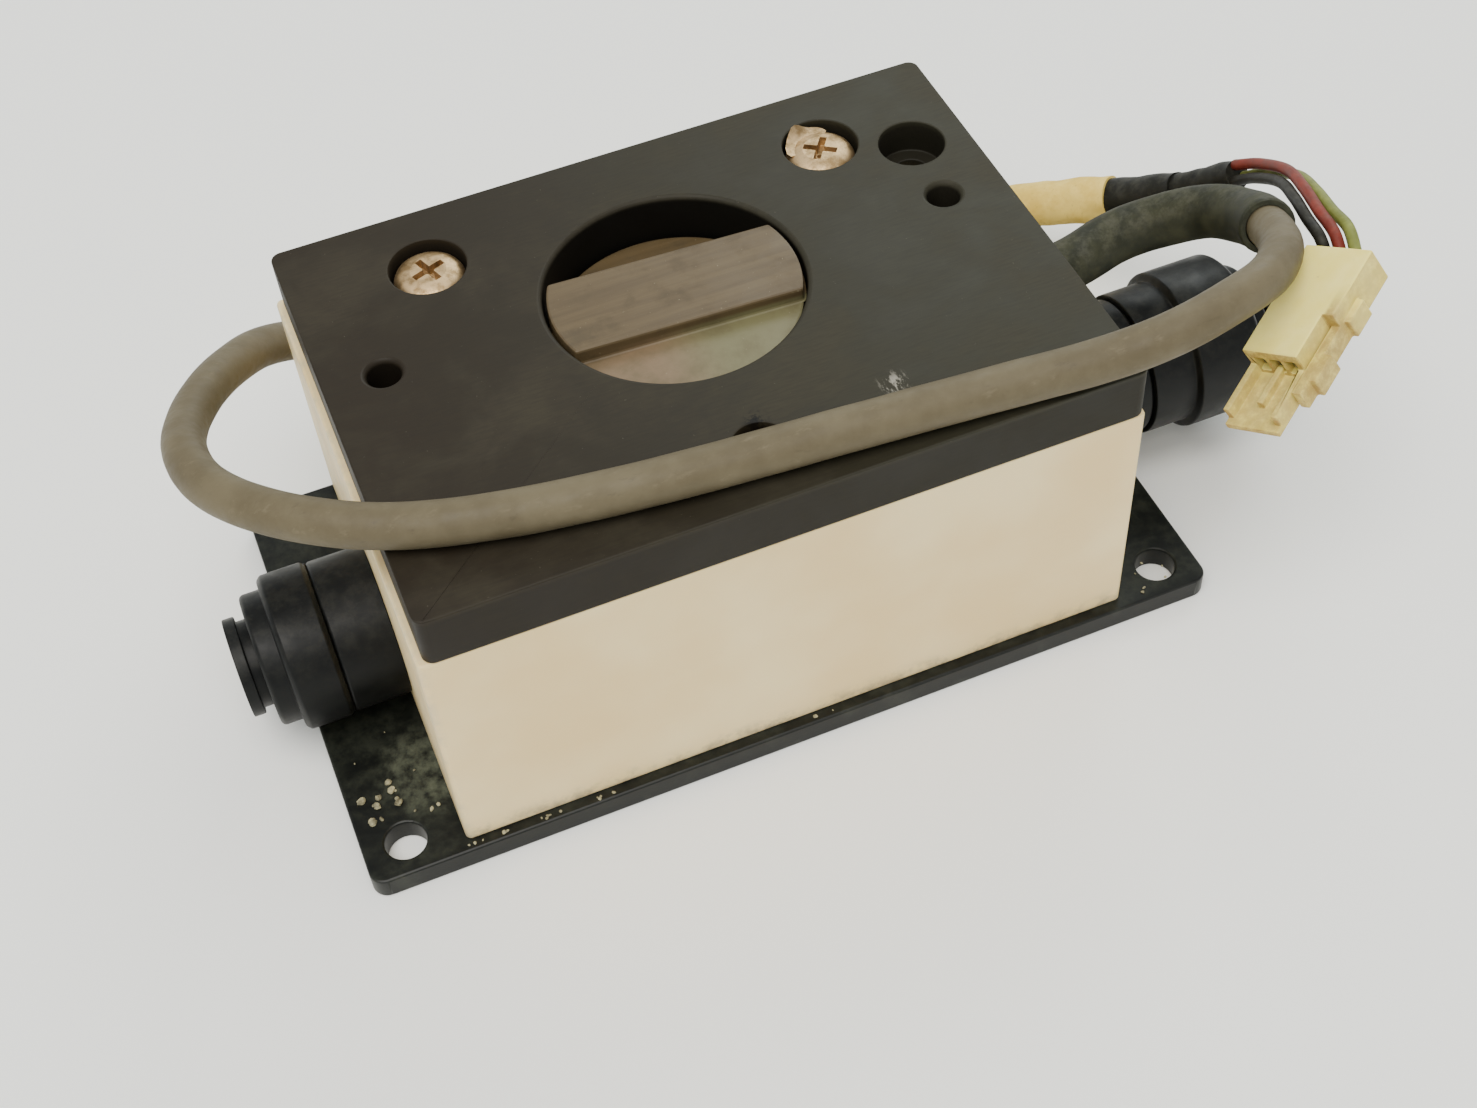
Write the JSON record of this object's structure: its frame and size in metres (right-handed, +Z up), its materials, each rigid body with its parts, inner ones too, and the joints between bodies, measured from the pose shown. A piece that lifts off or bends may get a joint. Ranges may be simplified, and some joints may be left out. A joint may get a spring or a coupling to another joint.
{
  "type": "motorised valve actuator head",
  "caption": "Motorised valve actuator head: cream valve block with push-in tube ports on both ends, dark cover with a round knob well, black base plate and a short lead with a plug.",
  "frame": {"origin": "centre of the four mounting holes, on the underside of the base plate", "axes": "+Z up through the cover, +X along the pipe towards the longer fitting and the cable exit, +Y towards the back long side"},
  "size_m": [0.1492, 0.086, 0.0541],
  "materials": {
    "base_black": "satin moulded, dusty",
    "block_cream": "machined nylon, slightly translucent",
    "cover_charcoal": "satin charcoal, smudged",
    "black_rubber": "matt",
    "screw_brass": "brass-coloured passivated steel",
    "brass": "turned",
    "steel": "plain",
    "polished_steel": "polished",
    "knob_olive": "worn satin",
    "gear_white": "acetal",
    "black_plastic": "satin",
    "copper": "enamelled copper",
    "board_green": "solder mask",
    "sleeve_olive": "matt sleeve",
    "lead_brown": "aged PVC",
    "band_ochre": "paper tape",
    "shrink_black": "polyolefin",
    "wire_red": "PVC",
    "wire_green": "faded PVC",
    "wire_black": "PVC",
    "connector_cream": "aged nylon"
  },
  "bodies": {
    "casing": {"base_plate": "base_black", "valve_body": "block_cream", "top_cover": "cover_charcoal", "cover_seal": "black_rubber", "cover_screws": "screw_brass", "threaded_inserts": "brass", "base_screws": "steel", "shaft_bush": "brass", "spindle_gland": "brass", "spindle_seal": "black_rubber", "left_seat": "gear_white", "right_seat": "gear_white", "seat_retainer": "block_cream", "gear_axles": "steel", "gear_plate": "steel", "plate_posts": "brass", "plate_screws": "steel", "motor_can": "steel", "motor_end_cap": "gear_white", "motor_ring": "black_plastic", "circuit_board": "board_green", "hall_sensors": "black_plastic", "board_screws": "steel", "inner_loom": "wire_red", "left_fitting": "black_plastic", "left_collar": "black_plastic", "left_grip_ring": "steel", "left_tube_seal": "black_rubber", "right_fitting": "black_plastic", "right_collar": "black_plastic", "right_grip_ring": "steel", "right_tube_seal": "black_rubber", "cable_gland": "black_plastic", "cable_sleeve": "sleeve_olive", "lead": "lead_brown", "marker_band": "band_ochre", "heat_shrink_large": "shrink_black", "heat_shrink_small": "shrink_black", "wire_red": "wire_red", "wire_green": "wire_green", "wire_black": "wire_black", "connector_housing": "connector_cream", "connector_contacts": "steel"},
    "knob": {"position_knob": "knob_olive", "drive_shaft": "steel", "output_gear": "gear_white", "position_magnet": "steel", "shaft_gear": "gear_white"},
    "spindle": {"spindle_gear": "gear_white", "valve_spindle": "steel", "valve_ball": "polished_steel"},
    "gear_b": {"compound_gear_b": "gear_white"},
    "gear_a": {"compound_gear_a": "gear_white"},
    "rotor": {"motor_rotor": "copper", "motor_pinion": "brass"},
    "left_release": {"left_collet": "black_plastic"},
    "right_release": {"right_collet": "black_plastic"}
  },
  "joints": [
    {"name": "knob_turn", "type": "hinge", "parent": "casing", "child": "knob", "pos_m": [0, 0.00575, 0.036], "axis": [0, 0, 1], "range_deg": [0, 90]},
    {"name": "spindle_turn", "type": "hinge", "parent": "casing", "child": "spindle", "pos_m": [0, -0.00225, 0.02], "axis": [0, 0, 1], "range_deg": [-90, 0]},
    {"name": "gear_b_turn", "type": "hinge", "parent": "casing", "child": "gear_b", "pos_m": [0.015, 0.00575, 0.032], "axis": [0, 0, 1], "range_deg": [-360, 0]},
    {"name": "gear_a_turn", "type": "hinge", "parent": "casing", "child": "gear_a", "pos_m": [0.02, -0.00625, 0.029], "axis": [0, 0, 1], "range_deg": [0, 1200]},
    {"name": "rotor_turn", "type": "hinge", "parent": "casing", "child": "rotor", "pos_m": [0.0235, -0.01825, 0.02], "axis": [0, 0, 1], "range_deg": [-4800, 0]},
    {"name": "left_collet_slide", "type": "slide", "parent": "casing", "child": "left_release", "axis": [1, 0, 0], "range_m": [0, 0.0012]},
    {"name": "right_collet_slide", "type": "slide", "parent": "casing", "child": "right_release", "axis": [-1, 0, 0], "range_m": [0, 0.0012]}
  ],
  "couplings": [
    {"joint": "spindle_turn", "follows": "knob_turn", "ratio": -1},
    {"joint": "gear_b_turn", "follows": "knob_turn", "ratio": -4},
    {"joint": "gear_a_turn", "follows": "knob_turn", "ratio": 13.333},
    {"joint": "rotor_turn", "follows": "knob_turn", "ratio": -53.333}
  ]
}
